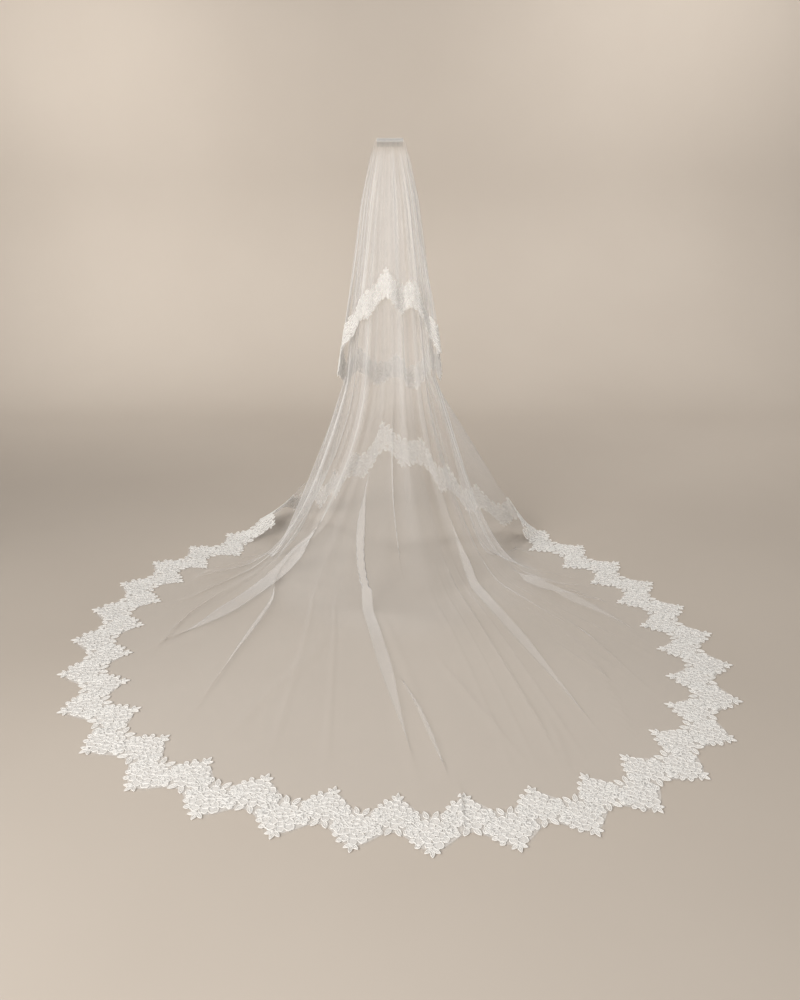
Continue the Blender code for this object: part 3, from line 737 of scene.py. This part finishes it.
def lace_motif(turn):
    """One repeat of a staggered floral edging, its blossoms turned by an angle."""
    drawn = Motif()
    half = REPEAT / 2
    for centre, out, side in (((0.0, 0.086), OUTWARD, 1), ((half, 0.152), INWARD, -1)):
        centre = np.array(centre)
        drawn.blossom(centre, ROSE_RADIUS, turn, ROSE)
        for spread, length in ((-0.95, 0.025), (0.0, 0.029), (0.95, 0.025)):
            drawn.leaf(centre + 0.055 * heading(out), out + spread, length, 0.011)
        for index in range(1, 5):
            angle = out + side * (0.25 + 0.40 * index)
            drawn.leaf(centre + 0.052 * heading(angle), angle + 0.25 * side, 0.017, 0.014)
    for side in (-1, 1):
        drawn.blossom((0.058 * side, 0.088), 0.020, turn + 0.4 * side, SPRAY)
        drawn.blossom((0.050 * side, 0.150), 0.020, turn - 0.4 * side, SPRAY)
        drawn.leaf((half + 0.008 * side, 0.100), OUTWARD - 0.50 * side, 0.030, 0.015)
        drawn.leaf((0.008 * side, 0.140), INWARD + 0.50 * side, 0.030, 0.015)
        drawn.leaf((0.040 * side, 0.142), INWARD + 0.45 * side, 0.024, 0.013)
        drawn.leaf((half + 0.038 * side, 0.096), OUTWARD - 0.45 * side, 0.024, 0.013)
        drawn.blossom((0.054 * side, 0.119), 0.026, turn * side, BUD)
    along = np.linspace(-half, half, 29)
    wave = 0.119 - 0.030 * np.cos(2 * math.pi * along / REPEAT)
    wave = wave + 0.004 * np.sin(6 * math.pi * along / REPEAT)
    drawn.cord(np.column_stack([along, wave]), 0.0028, 0.0012, closed=False)
    return drawn.arrays()


def ground_net():
    """Net of one repeat between the scalloped edges, open at the eyelets."""
    columns, rows = 24, 7
    along = np.linspace(-REPEAT / 2, REPEAT / 2, columns + 1)
    low = 0.056 - 0.030 * np.cos(2 * math.pi * along / REPEAT)
    high = 0.180 - 0.032 * np.cos(2 * math.pi * along / REPEAT)
    share = np.linspace(0, 1, rows + 1)
    back = low[:, None] + (high - low)[:, None] * share
    beside = np.repeat(along[:, None], rows + 1, 1)
    flat = np.stack([beside, back, np.full_like(back, 0.0003)], -1).reshape(-1, 3)
    faces = []
    for column in range(columns):
        for row in range(rows):
            here = column * (rows + 1) + row
            quad = (here, here + rows + 1, here + rows + 2, here + 1)
            middle = flat[list(quad), :2].mean(0)
            if math.hypot(abs(middle[0]) - EYELET[0], middle[1] - EYELET[1]) > EYELET_RADIUS:
                faces.append(quad)
    return flat, np.array(faces), np.full(len(faces), NET)


def lace_piece(name, places, span, surface, way_of, scale, lift, materials):
    """Lace round one side of a tier: a repeat, span places long, at each of the places."""
    source = np.random.default_rng(SEED + 5)
    motifs = [lace_motif(turn) for turn in (0.0, 0.23, 0.41)]
    net = ground_net()
    points, faces, slots, flats, count = [], [], [], [], 0
    for place in places:
        for drawn in (motifs[source.integers(len(motifs))], net):
            flat, quads, slot = drawn
            at = place + span * flat[:, 0] / REPEAT
            base, normal = surface(at, way_of(at, flat[:, 1]))
            points.append(base + (lift + scale * flat[:, 2:3]) * normal)
            faces.append(quads + count)
            slots.append(slot)
            flats.append(scale * np.column_stack([place / span * REPEAT + flat[:, 0], flat[:, 1]]))
            count += len(flat)
    return mesh_object(name, np.vstack(points), np.vstack(faces), materials,
                       np.concatenate(slots), np.vstack(flats))


def long_lace_way(place, distance):
    return 4.0 - distance / LACE_WIDTH


def short_lace_way(place, distance):
    return 1.0 - SHORT_LACE_SHARE * distance / short_hem.read(1, place)


def tier_grid(name, repeats, columns, ways, surface, edge_way, start_way, thickness, material, length):
    """Tulle of one tier, with rows at the given ways. From start_way on, they close on the cut edge."""
    place = np.repeat(np.arange(columns)[:, None] * repeats / columns, len(ways), 1)
    way = np.repeat(np.asarray(ways)[None, :], columns, 0)
    drawn_in = start_way + (way - start_way) / (ways[-1] - start_way) * (edge_way(place) - start_way)
    way = np.where(way > start_way, drawn_in, way)
    point, _ = surface(place.ravel(), way.ravel())
    flat = np.column_stack([place.ravel() * REPEAT, way.ravel() * length])
    made = mesh_object(name, point, grid_faces(columns, len(ways)), [material], flat=flat)
    layer = made.data.attributes.new("gather", "FLOAT", "POINT")
    waves = np.clip(ripple(place.ravel(), repeats, 7, 44, 0.6, SEED + 8), -1.4, 2.0)
    bands = 1.0 + BAND_DEPTH * (1 - smooth_step(1.2, 2.0, way.ravel())) * waves
    layer.data.foreach_set("value", (np.interp(way.ravel(), *thickness) * bands).astype(np.float32))
    return made


long_ways = np.r_[0.0, 0.02, 0.04, 0.065, np.linspace(0.1, 1, 17)[:-1], np.linspace(1, 2, 25)[:-1],
                  np.linspace(2, 3, 27)[:-1], np.linspace(3, 4, 13)]
short_ways = np.r_[np.linspace(0, SHORT_LACE_START, 34)[:-1], np.linspace(SHORT_LACE_START, 1.0, 16)]

long_tulle_look = tulle_material("long_tulle", TULLE_COVER)
short_tulle_look = tulle_material("short_tulle", TULLE_COVER)

long_tulle = tier_grid(
    "long_tier_tulle", LONG_REPEATS, LONG_COLUMNS, long_ways, long_surface,
    lambda place: long_lace_way(place, outer_edge(place)), 3.0,
    LONG_THICKNESS, long_tulle_look, 0.7,
)
short_tulle = tier_grid(
    "short_tier_tulle", SHORT_REPEATS, SHORT_COLUMNS, short_ways, short_surface,
    lambda place: short_lace_way(place, outer_edge((place - SHORT_SHIFT) / SHORT_SPAN - 0.5)),
    SHORT_LACE_START, SHORT_THICKNESS, short_tulle_look, 0.8,
)
lace_looks = [cord_material(), net_material("lace_fill", 0.22, 0.66), net_material("lace_net", 0.14, 0.46)]


def long_lace(name, places):
    return lace_piece(name, places, 1.0, long_surface, long_lace_way, 1.0, LONG_LACE_LIFT, lace_looks)


def short_lace(name, places):
    return lace_piece(name, places, SHORT_SPAN, short_surface, short_lace_way,
                      SHORT_LACE_SHARE, SHORT_LACE_LIFT, lace_looks)


short_places = SHORT_SHIFT + SHORT_SPAN * (np.arange(SHORT_SIDE_REPEATS) + 0.5)
long_lace_left = long_lace("long_tier_lace_sewn_left", np.arange(-LONG_REPEATS // 2, 0))
long_lace_right = long_lace("long_tier_lace_sewn_right", np.arange(0, LONG_REPEATS // 2))
short_lace_left = short_lace("short_tier_lace_sewn_left", short_places + SHORT_REPEATS / 2)
short_lace_right = short_lace("short_tier_lace_sewn_right", short_places)

for piece in (long_tulle, short_tulle, long_lace_left, long_lace_right, short_lace_left, short_lace_right):
    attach(piece, "root")
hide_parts("long_tier_fall_left", "long_tier_fall_right",
            "long_tier_train_front", "long_tier_train_left", "long_tier_train_right")
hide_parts("short_tier_tulle_left", "short_tier_tulle_right")
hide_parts("long_tier_lace_left")
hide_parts("long_tier_lace_right")
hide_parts("short_tier_lace_left")
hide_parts("short_tier_lace_right")

for node, look in (("comb", comb_material()), ("comb_binding", binding_material())):
    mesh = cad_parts[node].data
    mesh.materials.clear()
    mesh.materials.append(look)


# Studio


def studio_sweep():
    """Floor that curves up into a backdrop far behind the veil."""
    reach, start, radius, top, steps = 9.0, 2.2, 1.4, 7.0, 16
    profile = [(-reach, 0.0), (start, 0.0)]
    for step in range(1, steps + 1):
        turn = step / steps * math.pi / 2
        profile.append((start + radius * math.sin(turn), radius * (1 - math.cos(turn))))
    profile.append((start + radius, top))
    points = []
    for x in (-reach, reach):
        points += [(x, y, z - FLOOR_DROP - 0.001) for y, z in profile]
    count = len(profile)
    faces = [(index, count + index, count + index + 1, index + 1) for index in range(count - 1)]
    made = mesh_object("studio_sweep", points, faces, [studio_material()])


studio_sweep()


def area_light(name, place, aim, size, power, colour, spread):
    data = bpy.data.lights.new(name, "AREA")
    data.shape = "SQUARE"
    data.size = size
    data.energy = power
    data.color = colour
    data.spread = math.radians(spread)
    lamp = bpy.data.objects.new(name, data)
    lamp.location = place
    lamp.rotation_euler = (Vector(aim) - Vector(place)).to_track_quat("-Z", "Y").to_euler()
    bpy.context.scene.collection.objects.link(lamp)


for light in (
    # name, place, aim, size, watts, colour, spread in degrees
    ("key_light", (-2.8, -4.2, 1.3), (-1.3, -2.2, -1.65), 2.2, 275.0, (1.0, 0.985, 0.96), 180.0),
    ("front_light", (-0.8, -5.2, 1.4), (0.0, -0.3, -0.8), 2.8, 97.0, (1.0, 0.99, 0.975), 180.0),
    ("fill_light", (3.4, -3.0, 1.8), (0.3, -0.3, -1.2), 3.0, 35.0, (1.0, 0.99, 0.975), 180.0),
    ("top_light", (0.4, 0.2, 4.2), (0.2, 0.0, -1.6), 3.0, 30.0, (1.0, 0.99, 0.97), 180.0),
    ("wall_light", (-2.6, 0.9, 2.2), (-2.0, 3.6, -0.4), 1.4, 40.0, (1.0, 0.985, 0.96), 90.0),
    ("wall_light_right", (2.4, 0.9, 2.6), (1.4, 3.6, 0.0), 1.6, 44.0, (1.0, 0.99, 0.975), 100.0),
    ("rim_light_right", (3.0, 1.6, 1.9), (0.5, 0.6, -1.2), 1.6, 55.0, (1.0, 0.99, 0.97), 180.0),
    ("rim_light_left", (-2.6, 2.0, 1.4), (0.0, 0.1, -0.7), 1.2, 7.0, (1.0, 0.99, 0.97), 60.0),
):
    area_light(*light)

world = bpy.data.worlds.new("studio_air")
world.use_nodes = True
world.node_tree.nodes["Background"].inputs["Color"].default_value = (1.0, 0.98, 0.95, 1.0)
world.node_tree.nodes["Background"].inputs["Strength"].default_value = 0.30
bpy.context.scene.world = world
bpy.context.scene.view_settings.view_transform = "Standard"
bpy.context.scene.cycles.transparent_max_bounces = 48

# The camera of the photo, fitted to the comb and to the hem's ellipse on the floor
CAMERA_PLACE = (0.035, -3.35, 0.0)
CAMERA_PITCH_DOWN = 21.84
CAMERA_LENS = 32.4

camera = bpy.data.objects.new("camera", bpy.data.cameras.new("camera"))
camera.data.lens = CAMERA_LENS
camera.data.sensor_width = 36.0
camera.location = CAMERA_PLACE
camera.rotation_euler = (math.radians(90.0 - CAMERA_PITCH_DOWN), 0.0, 0.0)
bpy.context.scene.collection.objects.link(camera)
bpy.context.scene.camera = camera
